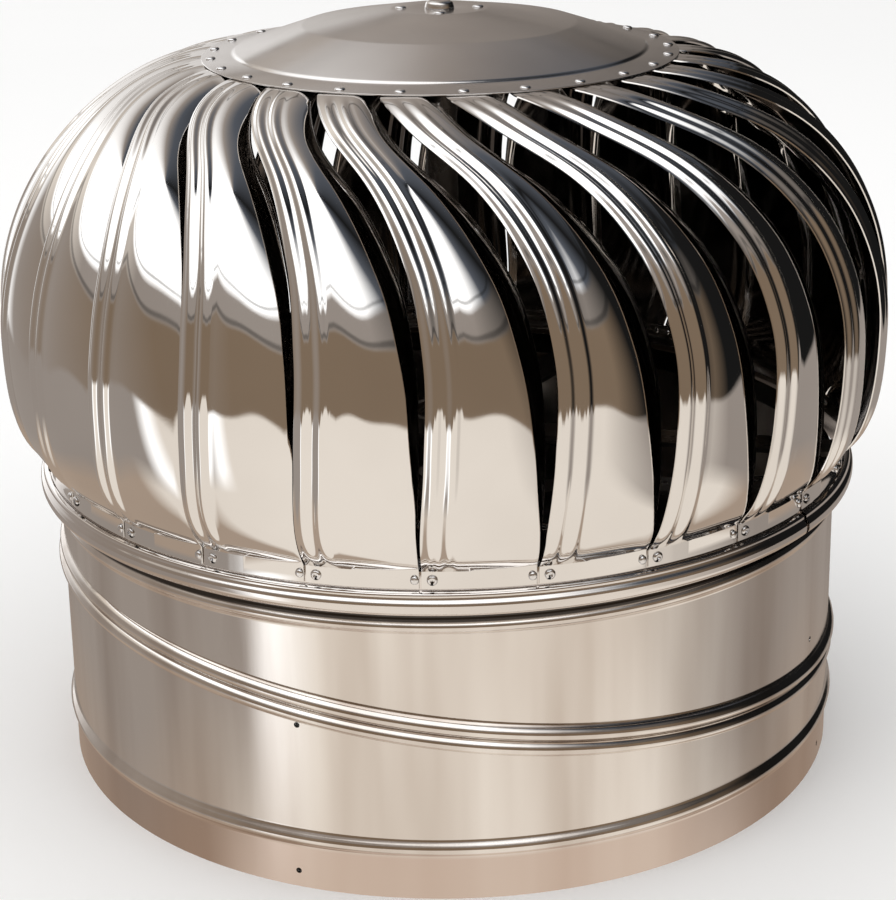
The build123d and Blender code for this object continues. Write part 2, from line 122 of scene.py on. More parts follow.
def new_piece(name, points, faces):
    """An object in the scene with this mesh."""
    mesh = bpy.data.meshes.new(name)
    mesh.from_pydata(points, [], faces)
    piece = bpy.data.objects.new(name, mesh)
    bpy.context.scene.collection.objects.link(piece)
    return piece


def skin_through(name, rings, wrap):
    """A piece through rings of points. wrap joins the last ring to the first; if not, the ends are capped."""
    rings = np.asarray(rings, float)
    rows, around = rings.shape[:2]
    faces = ring_faces(rows, around, wrap)
    if not wrap:
        faces.append(tuple(range(around))[::-1])
        faces.append(tuple((rows - 1) * around + step for step in range(around)))
    piece = new_piece(name, rings.reshape(-1, 3).tolist(), faces)
    piece.data.validate()
    return piece


def face_outwards(piece, sharp_angle=38):
    """Point all faces out and shade smoothly, but keep real edges sharp."""
    work = bmesh.new()
    work.from_mesh(piece.data)
    bmesh.ops.recalc_face_normals(work, faces=work.faces)
    work.to_mesh(piece.data)
    work.free()
    piece.data.shade_smooth()
    piece.data.set_sharp_from_angle(angle=radians(sharp_angle))


# %% [markdown]
# ## Profiles with soft corners
#
# Rolled and pressed sheet has no knife edges. Each profile below is a short list of corners, and this helper
# rounds them with small curves. The Bevel modifier could do it after the mesh is made, but a rounded
# profile is exact and adds no extra faces around the ring.

# %% Round the corners of a profile
longest_reach = 0.45


def eased(corners, setback, steps=5):
    """The closed profile with each corner replaced by a short curve."""
    corners = np.asarray(corners, float)
    points = []
    for number, corner in enumerate(corners):
        before = corners[number - 1] - corner
        after = corners[(number + 1) % len(corners)] - corner
        lengths = np.linalg.norm(before), np.linalg.norm(after)
        reach = min(setback, longest_reach * min(lengths))
        start = corner + before / lengths[0] * reach
        end = corner + after / lengths[1] * reach
        for t in np.linspace(0, 1, steps):
            points.append((1 - t) ** 2 * start + 2 * t * (1 - t) * corner + t * t * end)
    return np.array(points)


def turned_rings(profile, angles):
    """The rings of a profile of radius and height, turned through these angles."""
    turn = np.radians(angles)[:, None]
    radius, height = profile.T
    return np.stack([radius * np.sin(turn), -radius * np.cos(turn), height + 0 * turn], axis=-1)


def turned(name, profile, steps=288):
    """A ring turned all the way round."""
    angles = np.arange(steps) * 360 / steps
    return skin_through(name, turned_rings(profile, angles), wrap=True)


# %% [markdown]
# ## Finishes
#
# The head is bright annealed stainless sheet, polished. A perfect mirror looks like a computer picture,
# so each finish adds what real sheet has: slow waves from pressing, fine polishing lines, and a film of
# handling that blurs some patches more than others. All of it is made from noise in the piece's own space.

# %% Helpers for building finishes
def add_node(tree, kind, **settings):
    """A shader node with some of its settings and inputs filled in."""
    node = tree.nodes.new(kind)
    for key, value in settings.items():
        if hasattr(node, key):
            setattr(node, key, value)
        else:
            node.inputs[key].default_value = value
    return node


def noise(tree, place, scale, stretch=(1, 1, 1), detail=3.0):
    """Noise stretched along the axes."""
    mapping = add_node(tree, "ShaderNodeMapping")
    mapping.inputs["Scale"].default_value = stretch
    tree.links.new(place, mapping.inputs["Vector"])
    made = add_node(tree, "ShaderNodeTexNoise", Scale=scale, Detail=detail)
    tree.links.new(mapping.outputs["Vector"], made.inputs["Vector"])
    return made.outputs["Fac"]


def remap(tree, value, low, high, to_low, to_high):
    """A value stretched from one range to another."""
    node = add_node(tree, "ShaderNodeMapRange")
    node.inputs["From Min"].default_value = low
    node.inputs["From Max"].default_value = high
    node.inputs["To Min"].default_value = to_low
    node.inputs["To Max"].default_value = to_high
    tree.links.new(value, node.inputs["Value"])
    return node.outputs["Result"]


def math_node(tree, operation, first, second=None):
    """A math node on sockets or numbers."""
    node = add_node(tree, "ShaderNodeMath", operation=operation)
    for number, value in enumerate((first, second)):
        if value is None:
            continue
        if isinstance(value, (int, float)):
            node.inputs[number].default_value = value
        else:
            tree.links.new(value, node.inputs[number])
    return node.outputs[0]


# a Mix node has a set of sockets for each kind of value, and these are the ones for colours
mix_amount_socket = 0
mix_colour_sockets = (6, 7)
mix_result_socket = 2


def blend_colours(tree, amount, first, second):
    """One colour run into another by an amount. Each is a colour or a socket."""
    node = add_node(tree, "ShaderNodeMix", data_type="RGBA")
    for number, colour in zip(mix_colour_sockets, (first, second)):
        if isinstance(colour, tuple):
            node.inputs[number].default_value = (*colour, 1)
        else:
            tree.links.new(colour, node.inputs[number])
    tree.links.new(amount, node.inputs[mix_amount_socket])
    return node.outputs[mix_result_socket]


# %% The recipe for sheet steel
film_scale = 34.0
dent_scale = 48.0
line_scale = 420.0
dent_share = 1 / 30
patch_edges = (0.35, 0.65)
film_edges = (0.3, 0.75)


def sheet_finish(name, bright, dull, gloss, waves, lines, grain=(1, 1, 1), stretch=0.0, patch=(9.0, 1, 1, 1)):
    """Metal with patches of colour and gloss, slow waves, small dents and fine lines.

    gloss is the lowest and highest roughness, waves and lines are bump heights in metres, grain stretches
    the film and the lines, and patch is the scale of the patches and their stretch along each axis.
    """
    finish = bpy.data.materials.new(name)
    finish.use_nodes = True
    tree = finish.node_tree
    shader = tree.nodes["Principled BSDF"]
    shader.inputs["Metallic"].default_value = 1.0
    shader.inputs["Anisotropic"].default_value = stretch
    place = add_node(tree, "ShaderNodeTexCoord").outputs["Object"]

    patches = noise(tree, place, patch[0], patch[1:])
    colour = blend_colours(tree, remap(tree, patches, *patch_edges, 0, 1), bright, dull)
    tree.links.new(colour, shader.inputs["Base Color"])

    film = noise(tree, place, film_scale, grain, detail=5.0)
    tree.links.new(remap(tree, film, *film_edges, *gloss), shader.inputs["Roughness"])

    slow = add_node(tree, "ShaderNodeBump", Strength=1.0, Distance=waves)
    tree.links.new(noise(tree, place, patch[0], patch[1:], detail=0.5), slow.inputs["Height"])
    dents = add_node(tree, "ShaderNodeBump", Strength=1.0, Distance=waves * dent_share)
    tree.links.new(noise(tree, place, dent_scale, detail=1.0), dents.inputs["Height"])
    tree.links.new(slow.outputs["Normal"], dents.inputs["Normal"])
    fine = add_node(tree, "ShaderNodeBump", Strength=1.0, Distance=lines)
    tree.links.new(noise(tree, place, line_scale, grain, detail=2.0), fine.inputs["Height"])
    tree.links.new(dents.outputs["Normal"], fine.inputs["Normal"])
    tree.links.new(fine.outputs["Normal"], shader.inputs["Normal"])
    if stretch:
        tangent = add_node(tree, "ShaderNodeTangent", direction_type="RADIAL", axis="Z")
        tree.links.new(tangent.outputs["Tangent"], shader.inputs["Tangent"])
    return finish


# %% The finishes of this ventilator
vane_steel = sheet_finish(
    "polished_vane_sheet", (0.90, 0.885, 0.87), (0.83, 0.81, 0.79), (0.03, 0.08), 0.7 * mm, 0.003 * mm
)
# the vanes' inner faces get a dark colour, painted shade for the dim inside of the head between the vanes,
# and a rougher gloss
inner_shade_paint = sheet_finish(
    "vane_inner_face_painted_shade", (0.17, 0.155, 0.145), (0.08, 0.075, 0.07), (0.08, 0.18), 0.8 * mm, 0.01 * mm
)
plate_steel = sheet_finish(
    "bright_plate_sheet", (0.82, 0.80, 0.785), (0.72, 0.695, 0.68), (0.15, 0.24), 0.5 * mm, 0.006 * mm
)
ring_steel = sheet_finish(
    "rolled_ring_sheet", (0.88, 0.85, 0.83), (0.78, 0.74, 0.71), (0.06, 0.14), 0.4 * mm, 0.005 * mm
)
neck_steel = sheet_finish(
    "rolled_neck_sheet",
    (0.90, 0.865, 0.83),
    (0.66, 0.595, 0.545),
    (0.08, 0.19),
    0.8 * mm,
    0.006 * mm,
    grain=(1, 1, 0.12),
    stretch=0.45,
    patch=(8.0, 2.6, 2.6, 0.25),
)
rivet_steel = sheet_finish(
    "blind_rivet_steel", (0.92, 0.92, 0.93), (0.80, 0.80, 0.81), (0.16, 0.30), 0.02 * mm, 0.01 * mm
)
# the inside of the rivets' stem holes is painted near black, painted shade for the deep narrow hole
hole_shade_paint = sheet_finish(
    "rivet_hole_painted_shade", (0.035, 0.033, 0.032), (0.015, 0.015, 0.015), (0.4, 0.6), 0.02 * mm, 0.02 * mm
)
frame_steel = sheet_finish(
    "plated_bar_steel", (0.34, 0.32, 0.30), (0.20, 0.19, 0.185), (0.20, 0.40), 0.1 * mm, 0.03 * mm
)
bearing_steel = sheet_finish(
    "ground_bearing_steel", (0.52, 0.52, 0.54), (0.42, 0.42, 0.44), (0.12, 0.26), 0.02 * mm, 0.01 * mm
)
zinc = sheet_finish(
    "zinc_plated_steel", (0.58, 0.58, 0.55), (0.44, 0.44, 0.42), (0.25, 0.42), 0.05 * mm, 0.02 * mm
)


def tint_between(finish, low, high, soft, amount, tint):
    """Change the colour of a finish between two heights."""
    tree = finish.node_tree
    shader = tree.nodes["Principled BSDF"]
    colour = shader.inputs["Base Color"].links[0].from_socket
    place = add_node(tree, "ShaderNodeTexCoord").outputs["Object"]
    split = add_node(tree, "ShaderNodeSeparateXYZ")
    tree.links.new(place, split.inputs["Vector"])
    middle = (low + high) / 2
    half = (high - low) / 2
    off = math_node(tree, "ABSOLUTE", math_node(tree, "SUBTRACT", split.outputs["Z"], middle))
    strength = remap(tree, off, half - soft, half, amount, 0)
    tinted = blend_colours(tree, strength, colour, tint)
    tree.links.new(tinted, shader.inputs["Base Color"])


foot_tan = (0.62, 0.485, 0.41)
shadow_black = (0.03, 0.026, 0.024)
foot_band = (-10 * mm, 29 * mm)
shadow_band = (172 * mm, 190 * mm)
# the rolled foot below the bead is a warmer brown than the wall
tint_between(neck_steel, *foot_band, 4 * mm, 0.7, foot_tan)
# a room that only reflections see casts no shadow under the turning head, so the wall is painted dark there
tint_between(neck_steel, *shadow_band, 0.8 * mm, 0.93, shadow_black)
print("finishes", len(bpy.data.materials))


def dress(piece, body, slot_name, finish, *replaced):
    """Give a piece its finish, let it ride on its body, and hide the frame's parts that it replaces."""
    if not piece.data.materials:
        piece.data.materials.append(finish)
    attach(piece, body)
    if replaced:
        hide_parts(*replaced)


# %% [markdown]
# ## The pressed vanes
#
# A vane is one strip of sheet. Its outer edge has two pressed beads that stiffen it, its panel bends in
# behind the next vane, and its inner edge is rolled into a hem. It could be modelled flat and bent with
# modifiers, but crisp reflections need an even mesh, so each cross-section is worked out and the vane is
# skinned through them. The outline up the head is two Bezier curves that meet at the belly.

# %% The head's outline, from the bottom tab to the shoulder
crease_height = ring_top + 0.5 * mm
tab_foot_height = 195 * mm
belly_radius = 278.8 * mm
belly_height = 287 * mm
shoulder_radius = 150 * mm
shoulder_height = 443.6 * mm
shoulder_slope = radians(6.5)
shoulder_pull = 62.2 * mm
belly_pull_down = 66 * mm
belly_pull_up = 86.6 * mm
tab_end_radius = 137 * mm

lower_curve = (
    (tab_radius, crease_height),
    (tab_radius + 6 * mm, crease_height + 8 * mm),
    (belly_radius, belly_height - belly_pull_down),
    (belly_radius, belly_height),
)
upper_curve = (
    (belly_radius, belly_height),
    (belly_radius, belly_height + belly_pull_up),
    (shoulder_radius + shoulder_pull, shoulder_height - shoulder_pull * tan(shoulder_slope)),
    (shoulder_radius, shoulder_height),
)


def bezier(corners, t):
    """Points on a cubic Bezier curve."""
    a, b, c, d = (np.array(corner) for corner in corners)
    t = np.asarray(t)[:, None]
    return (1 - t) ** 3 * a + 3 * (1 - t) ** 2 * t * b + 3 * (1 - t) * t * t * c + t**3 * d


fine = np.linspace(0, 1, 400)
outline = np.vstack([bezier(lower_curve, fine), bezier(upper_curve, fine)[1:]])
outline_run = np.concatenate([[0], np.cumsum(np.linalg.norm(np.diff(outline, axis=0), axis=1))])
outline_run /= outline_run[-1]
outline_lean = np.gradient(outline, axis=0)
outline_lean /= np.linalg.norm(outline_lean, axis=1)[:, None]
print("outline points", len(outline), "widest", outline[:, 0].max(), "top", outline[-1, 1])


def along_outline(fraction):
    """Radius and height, and the direction, at a fraction of the way up the outline."""
    place = [np.interp(fraction, outline_run, column) for column in outline.T]
    lean = [np.interp(fraction, outline_run, column) for column in outline_lean.T]
    return place, list(np.array(lean) / np.hypot(*lean))


# %% How a vane changes on its way up
# fraction of the way up, angle of the outer edge, depth of the inner edge in mm, height of the beads in mm,
# gap to the next vane in degrees
vane_stations = np.array(
    [
        (0.00, 11.1, 0.1, 0.05, 0.3),
        (0.08, 11.2, 4.0, 2.0, 0.45),
        (0.24, 11.9, 10.5, 2.0, 0.95),
        (0.42, 12.0, 15.5, 2.0, 1.5),
        (0.59, 9.7, 17.0, 2.0, 1.7),
        (0.74, 4.1, 16.2, 2.0, 1.7),
        (0.88, -5.6, 12.0, 2.0, 1.7),
        (1.00, -13.0, 4.0, 0.05, 1.7),
    ]
)
station_fractions, edge_angles, edge_depths, bead_heights, vane_gaps = vane_stations.T
print("deepest inner edge", edge_depths.max(), "mm, widest gap", vane_gaps.max(), "degrees")


def eased_through(fraction, y):
    """A smooth curve through one column of the stations."""
    x = station_fractions
    slopes = np.gradient(y, x)
    k = int(np.clip(np.searchsorted(x, fraction) - 1, 0, len(x) - 2))
    width = x[k + 1] - x[k]
    t = (fraction - x[k]) / width
    start = (2 * t**3 - 3 * t**2 + 1) * y[k] + (t**3 - 2 * t**2 + t) * width * slopes[k]
    end = (3 * t**2 - 2 * t**3) * y[k + 1] + (t**3 - t**2) * width * slopes[k + 1]
    return start + end


# %% One cross-section of a vane
band_width = 20 * mm
edge_drop = 0.3 * mm
band_drop = 0.1 * mm
tab_gap = 0.3
hem_thickness = 2.4 * mm
band_points = 21
panel_points = 16
hem_points = 7
flat_depth = 0.1 * mm
flat_bead = 0.05 * mm


def vane_ring(radius, height, lean, edge_angle, depth, ridge, gap, hem):
    """The closed cross-section of a vane, square to the outline."""
    span = pitch - gap
    middle = radians(edge_angle + span / 2)
    outward = np.array((sin(middle), -cos(middle), 0))
    across = np.array((cos(middle), sin(middle), 0))
    normal = outward * lean[1] - np.array((0, 0, lean[0]))
    origin = outward * radius + np.array((0, 0, height))
    left = -radius * sin(radians(span / 2))
    bow = max(lean[1], 0) / radius

    t = np.linspace(0, 1, band_points)
    band_x = left + band_width * t
    band_below = band_drop + (edge_drop - band_drop) * (1 - t) ** 2 - ridge * np.sin(2 * pi * t) ** 2
    f = np.linspace(0, 1, panel_points)[1:]
    panel_x = band_x[-1] + (-left - band_x[-1]) * f
    panel_below = band_drop + depth * f**2
    top_x = np.concatenate([band_x, panel_x])
    top_below = np.concatenate([band_below, panel_below])

    turn = np.linspace(0, pi, hem_points)[1:-1]
    hem_x = top_x[-1] + hem / 2 * np.sin(turn) - hem / 2
    hem_below = top_below[-1] + hem / 2 * (1 - np.cos(turn))
    under_x = top_x[::-1].copy()
    under_below = top_below[::-1] + sheet
    under_x[0] -= hem / 2
    under_below[0] = top_below[-1] + hem
    x = np.concatenate([top_x[:-1], [top_x[-1] - hem / 2], hem_x, under_x])
    below = np.concatenate([top_below, hem_below, under_below])
    y = -bow * x * x / 2 - below
    return origin + x[:, None] * across + y[:, None] * normal


# %% The rings of one vane, from its bottom tab to its top tab
curve_steps = 64
first_fraction = 0.006
hem_starts_over = 0.08
hem_ends_over = 0.1
top_tab_angle = -13.5
top_tab_depth = 1.0 * mm


def first_vane_rings():
    """The rings of the first vane."""
    upright = (0.0, 1.0)
    for height in (tab_foot_height, crease_height):
        yield vane_ring(tab_radius, height, upright, edge_angles[0], flat_depth, flat_bead, tab_gap, sheet)
    for fraction in np.linspace(first_fraction, 1, curve_steps):
        place, lean = along_outline(fraction)
        ends = min(fraction / hem_starts_over, (1 - fraction) / hem_ends_over, 1)
        yield vane_ring(
            *place,
            lean,
            eased_through(fraction, edge_angles),
            eased_through(fraction, edge_depths) * mm,
            max(eased_through(fraction, bead_heights), 0) * mm,
            max(eased_through(fraction, vane_gaps), tab_gap),
            sheet + (hem_thickness - sheet) * max(ends, 0),
        )
    tab_height = shoulder_height + (shoulder_radius - tab_end_radius) * tan(shoulder_slope)
    flat = (-cos(shoulder_slope), sin(shoulder_slope))
    yield vane_ring(
        tab_end_radius, tab_height, flat, top_tab_angle, top_tab_depth, flat_bead, tab_gap, sheet
    )


# %% Skin the first vane and turn copies of it round the head
first_rings = np.array(list(first_vane_rings()))
points_on_top = band_points + panel_points - 1
for number in range(vane_count):
    turn = radians(number * pitch)
    spin = np.array(((cos(turn), -sin(turn), 0), (sin(turn), cos(turn), 0), (0, 0, 1)))
    vane = skin_through(f"pressed_vane_{number + 1:02d}", first_rings @ spin.T, wrap=False)
    vane.data.materials.append(vane_steel)
    vane.data.materials.append(inner_shade_paint)
    around = first_rings.shape[1]
    # the faces run round each ring from the outer face, over the hem, to the inner face
    for face in vane.data.polygons[: (len(first_rings) - 1) * around]:
        # faces on the inner side take the second finish, the painted shade
        face.material_index = int(points_on_top + hem_points <= face.index % around < around - 1)
    face_outwards(vane)
    dress(vane, "rotor", "vane_steel", vane_steel, f"vane_{number + 1:02d}")
print("vane rings", first_rings.shape, "faces in a vane", len(vane.data.polygons))


# %% [markdown]
# ## The neck, in two halves
#
# The neck is rolled from sheet and cut by a slanted plane. Each cut edge is folded into half of a round
# bead, and one fold is trapped in the other, so the halves can turn and the neck bends. The wall is round
# about the upright axis and the seam is round about the slanted one, so neither can be turned in one go.
# Each ring below is placed about its own axis, and the skin joins them.
#
# A tall face next to a bead would borrow the bead's shading, so plain rings lie close beside each bead.

# %% The slanted seam
seam_height = 104 * mm
seam_tilt = radians(7.8)
seam_half = 9 * mm
seam_root = neck_radius / cos(seam_tilt) + 0.2 * mm
seam_crest = neck_radius + 5.6 * mm
spigot_radius = seam_root - 1.9 * mm
curl_radius = seam_root - 0.1 * mm
seam_lip = 1.7 * mm
curl_end = 0.6 * seam_half
gap = 0.3 * mm
steps_round = 360
round_angles = np.arange(steps_round) * 2 * pi / steps_round
round_x = np.sin(round_angles)
round_y = -np.cos(round_angles)
print("seam radius", seam_root, "crest", seam_crest)


def wall_ring(radius, height):
    """A ring about the upright axis. A height may change round the ring."""
    return np.stack([radius * round_x, radius * round_y, height + 0 * round_x], axis=-1)


def cut_height(radius, offset):
    """Height of a plane beside the seam, round a ring of this radius."""
    return seam_height + offset / cos(seam_tilt) - radius * round_x * tan(seam_tilt)


def seam_ring(radius, offset):
    """A ring about the seam's slanted axis, this far from the seam plane."""
    x = radius * round_x
    along = x * cos(seam_tilt) + offset * sin(seam_tilt)
    rise = seam_height - x * sin(seam_tilt) + offset * cos(seam_tilt)
    return np.stack([along, radius * round_y, rise], axis=-1)


def bead_rings(middle, width, proud, side):
    """Rings over a rolled bead, on the outside or the inside of the wall.

    The first and last ring lie on the plain wall, and keep its shading flat up to the bead.
    """
    radius = neck_radius if side == "out" else neck_bore
    up_the_bead = [-0.3, -0.1, *np.linspace(0, 1, 11), 1.1, 1.3]
    for t in up_the_bead[:: 1 if side == "out" else -1]:
        rise = proud * sin(pi * min(max(t, 0), 1)) ** 1.4
        yield wall_ring(radius + rise, middle + width * (t - 0.5))


def half_bead(low, high):
    """Rings over one half of the seam's double bead."""
    for t in np.linspace(0.02, 0.98, 13):
        bulge = (seam_crest - seam_root) * sin(pi * t) ** 0.8
        yield seam_ring(seam_root + bulge, low + (high - low) * t)


# %% The lower half of the neck
foot_bead = (32 * mm, 11 * mm, 3 * mm)
lower_rings = [
    wall_ring(neck_bore, 0),
    wall_ring(neck_radius, 0),
    *bead_rings(*foot_bead, "out"),
    wall_ring(neck_radius, cut_height(neck_radius, -seam_half - 4 * mm)),
    wall_ring(neck_radius, cut_height(neck_radius, -seam_half - 1 * mm)),
    wall_ring(neck_radius, cut_height(neck_radius, -seam_half)),
    *half_bead(-seam_half, -gap / 2),
    seam_ring(spigot_radius, -gap / 2),
    seam_ring(spigot_radius, seam_lip + gap),
    seam_ring(curl_radius, seam_lip + gap),
    seam_ring(curl_radius, curl_end),
    seam_ring(neck_bore - gap, curl_end),
    seam_ring(neck_bore - gap, -seam_half - 1 * mm),
    wall_ring(neck_bore, cut_height(neck_bore, -seam_half - 2 * mm)),
    wall_ring(neck_bore, cut_height(neck_bore, -seam_half - 5 * mm)),
    *bead_rings(*foot_bead, "in"),
]
lower_neck = skin_through("lower_neck_sheet", lower_rings, wrap=True)
print("lower neck rings", len(lower_rings))

# %% The upper half of the neck
top_bead = (169.5 * mm, 10 * mm, 3 * mm)
upper_rings = [
    seam_ring(spigot_radius + gap, gap / 2),
    *half_bead(gap / 2, seam_half),
    wall_ring(neck_radius, cut_height(neck_radius, seam_half)),
    wall_ring(neck_radius, cut_height(neck_radius, seam_half + 1 * mm)),
    wall_ring(neck_radius, cut_height(neck_radius, seam_half + 4 * mm)),
    *bead_rings(*top_bead, "out"),
    wall_ring(neck_radius, neck_top),
    wall_ring(neck_bore, neck_top),
    wall_ring(neck_bore, cut_height(neck_bore, seam_half + 3 * mm)),
    seam_ring(neck_bore - gap, seam_half + 1 * mm),
    seam_ring(neck_bore - gap, curl_end + gap),
    seam_ring(curl_radius + gap, curl_end + gap),
    seam_ring(curl_radius + gap, seam_lip),
    seam_ring(spigot_radius + gap, seam_lip),
]
upper_neck = skin_through("upper_neck_sheet", upper_rings, wrap=True)
print("upper neck rings", len(upper_rings))


# %% [markdown]
# ## Screw holes in the neck
#
# The neck is held to its collar by screws, and one more screw beside the seam locks each half. A dark dot
# painted on the wall would vanish from the side, so each hole is really cut, with a small cylinder and the
# Boolean modifier, which is then applied.

# %% Drill the holes
hole_radius = 1.75 * mm
fixing_angle = -20.9
fixing_height = 10.2 * mm
lower_lock_angle = -20.4
lower_lock_offset = -12.5 * mm
upper_lock_angle = 62.7
upper_lock_offset = 21.6 * mm


def drill(piece, places):
    """Cut small round holes through a wall at these angles and heights."""
    for angle, height in places:
        across = spot(angle, 1, 0)
        bpy.ops.mesh.primitive_cylinder_add(vertices=24, radius=hole_radius, depth=16 * mm)
        cutter = bpy.context.object
        aim = Vector((0, 0, 1)).rotation_difference(across).to_matrix().to_4x4()
        cutter.matrix_world = Matrix.Translation(spot(angle, neck_radius, height)) @ aim
        cut = piece.modifiers.new("hole", "BOOLEAN")
        cut.object = cutter
        cut.solver = "EXACT"
        bpy.context.view_layer.objects.active = piece
        bpy.ops.object.modifier_apply(modifier=cut.name)
        bpy.data.objects.remove(cutter)


def beside_seam(angle, offset):
    """A height on the neck's wall, this far above the seam."""
    return seam_height - neck_radius * sin(radians(angle)) * tan(seam_tilt) + offset


fixing_places = [(fixing_angle + 90 * quarter, fixing_height) for quarter in range(4)]
lower_lock = (lower_lock_angle, beside_seam(lower_lock_angle, lower_lock_offset))
upper_lock = (upper_lock_angle, beside_seam(upper_lock_angle, upper_lock_offset))
for piece in (lower_neck, upper_neck):
    face_outwards(piece)
drill(lower_neck, [*fixing_places, lower_lock])
drill(upper_neck, [upper_lock])
dress(lower_neck, "lower_neck", "neck_steel", neck_steel, "lower_neck")
dress(upper_neck, "upper_neck", "neck_steel", neck_steel, "upper_neck")
print("neck faces", len(lower_neck.data.polygons), len(upper_neck.data.polygons))


# %% [markdown]
# ## The rotor ring
#
# The ring that carries the vanes is a rolled strip with a round bead below and a shelf above it. Its two ends
# meet at one place and leave a hairline gap. So the plain wall is turned right round, and the rolled part is
# turned nearly round, with its ends closed.

# %% Turn the ring's wall and its bead
ring_joint = 54.0
joint_gap = 3.2 * mm
bead_top = 194.2 * mm
bead_foot = 3.2 * mm
bead_proud = 6.3 * mm
shelf_proud = 4.1 * mm
bead_seat = 0.1 * mm
wall_corners = [
    (ring_radius - sheet, ring_bottom),
    (ring_radius - hair, ring_bottom),
    (ring_radius - hair, ring_top),
    (ring_radius - sheet, ring_top),
]
bead_corners = [
    (ring_radius - bead_seat, ring_bottom),
    (ring_radius + bead_foot, ring_bottom),
    (ring_radius + bead_proud, ring_bottom + 3 * mm),
    (ring_radius + bead_proud, ring_bottom + 8 * mm),
    (ring_radius + shelf_proud, ring_bottom + 10.5 * mm),
    (ring_radius + shelf_proud, bead_top - 1.4 * mm),
    (ring_radius - bead_seat, bead_top),
]
ring_wall = turned("rotor_ring_wall", eased(wall_corners, 0.1 * mm, 3), 360)
half_gap = np.degrees(joint_gap / 2 / ring_radius)
bead_angles = np.linspace(ring_joint + half_gap, ring_joint + 360 - half_gap, 361)
bead_profile = eased(bead_corners, 2.2 * mm, 7)
ring_bead = skin_through("rotor_ring_bead", turned_rings(bead_profile, bead_angles), wrap=False)
for piece in (ring_wall, ring_bead):
    face_outwards(piece)
dress(ring_wall, "rotor", "plate_steel", ring_steel)
dress(ring_bead, "rotor", "plate_steel", ring_steel, "rotor_ring")
print("ring points", len(ring_bead.data.vertices))

# %% [markdown]
# ## The top plate and the cap
#
# The plate is spun from a disc: a sloping flange that is riveted down, a step that stiffens it, and a shallow
# dome. It is one profile turned about the axis. The cap over the shaft's nut is a small cup, made in the
# same way.

# %% Turn the top plate
plate_seat = shoulder_height + 0.1 * mm
flat_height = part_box("hub_cap")[0].z - sheet


def flange_height(radius):
    """Underside of the plate's flange."""
    return plate_seat + (shoulder_radius - radius) * tan(shoulder_slope)


step_radius = 128.5 * mm
step_height = flange_height(step_radius) + 1.6 * mm
crease_radius = 85 * mm
plate_crease = 461.8 * mm
flat_radius = 30 * mm
plate_hole_radius = 8 * mm
plate_under = [
    (plate_rim, flange_height(plate_rim)),
    (step_radius, flange_height(step_radius)),
    (step_radius - 1.5 * mm, step_height),
    (crease_radius, plate_crease),
    (flat_radius, flat_height),
    (plate_hole_radius, flat_height),
]
plate_corners = plate_under + [(r, z + sheet) for r, z in reversed(plate_under)]
top_plate = turned("domed_top_plate", eased(plate_corners, 1.1 * mm, 4), 288)
face_outwards(top_plate)
dress(top_plate, "rotor", "plate_steel", plate_steel, "top_plate")

# %% Turn the cap
cap_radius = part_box("hub_cap")[1].x
cap_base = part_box("hub_cap")[0].z
cap_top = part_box("hub_cap")[1].z
cap_corners = [
    (cap_radius, cap_base),
    (cap_radius - 0.9 * mm, cap_top - 1.2 * mm),
    (cap_radius - 3.2 * mm, cap_top),
    (hair, cap_top),
    (hair, cap_top - sheet),
    (cap_radius - 3.4 * mm, cap_top - sheet),
    (cap_radius - sheet, cap_base),
]
hub_cap = turned("nut_cap", eased(cap_corners, 0.9 * mm, 5), 96)
face_outwards(hub_cap)
dress(hub_cap, "rotor", "plate_steel", plate_steel, "hub_cap")
print("plate faces", len(top_plate.data.polygons))


# %% [markdown]
# ## Blind rivets
#
# A blind rivet has a low domed head, and where the pulling stem broke off deep it leaves a hole. The tab
# rivets have open holes and the others closed domes. One rivet is turned from a profile, and each row is
# that rivet copied to its places and joined to one piece.

# %% One rivet, and rows of it
def rivet_rings(head, height, shank, grip, open_stem):
    """The rings of one rivet that stands up along Z, with its seat at zero.

    The crown and the brim are shares of the head's radius and height.
    """
    if open_stem:
        crown = [(0.40, 0.0), (0.42, 0.92), (0.52, 1.0), (0.74, 0.84)]
    else:
        crown = [(0.01, 0.9), (0.01, 1.0), (0.40, 0.95), (0.68, 0.82)]
    brim = [(0.90, 0.50), (1.0, 0.12), (0.99, 0.0)]
    dome = [(radius * head, rise * height) for radius, rise in crown + brim]
    stem = [
        (shank, 0.0),
        (shank, -grip),
        (shank * 1.25, -grip - 0.5 * mm),
        (shank * 0.9, -grip - 1.2 * mm),
        (0.05 * head, -grip - 1.2 * mm),
    ]
    inside = [(0.05 * head, 0.0)] if open_stem else []
    return turned_rings(np.array(dome + stem + inside), np.arange(24) * 15.0)


def rivet_row(name, places, replaced, head=3.1 * mm, shank=1.6 * mm, grip=1.6 * mm, open_stem=False):
    """Rivets at these points and directions, as one piece."""
    one = rivet_rings(head, 1.3 * mm, shank, grip, open_stem)
    rows, around = one.shape[:2]
    points = []
    faces = []
    for place, direction in places:
        aim = Vector((0, 0, 1)).rotation_difference(direction).to_matrix()
        faces += ring_faces(rows, around, wrap=True, first=len(points))
        points += [aim @ Vector(point) + place for point in one.reshape(-1, 3)]
    row_piece = new_piece(name, points, faces)
    if open_stem:
        row_piece.data.materials.append(rivet_steel)
        row_piece.data.materials.append(hole_shade_paint)
        # the rows inside the stem hole take the painted shade
        for face in row_piece.data.polygons:
            face.material_index = int(face.index // around % rows in (0, rows - 2, rows - 1))
    face_outwards(row_piece, 50)
    dress(row_piece, "rotor", "rivet_steel", rivet_steel, replaced)


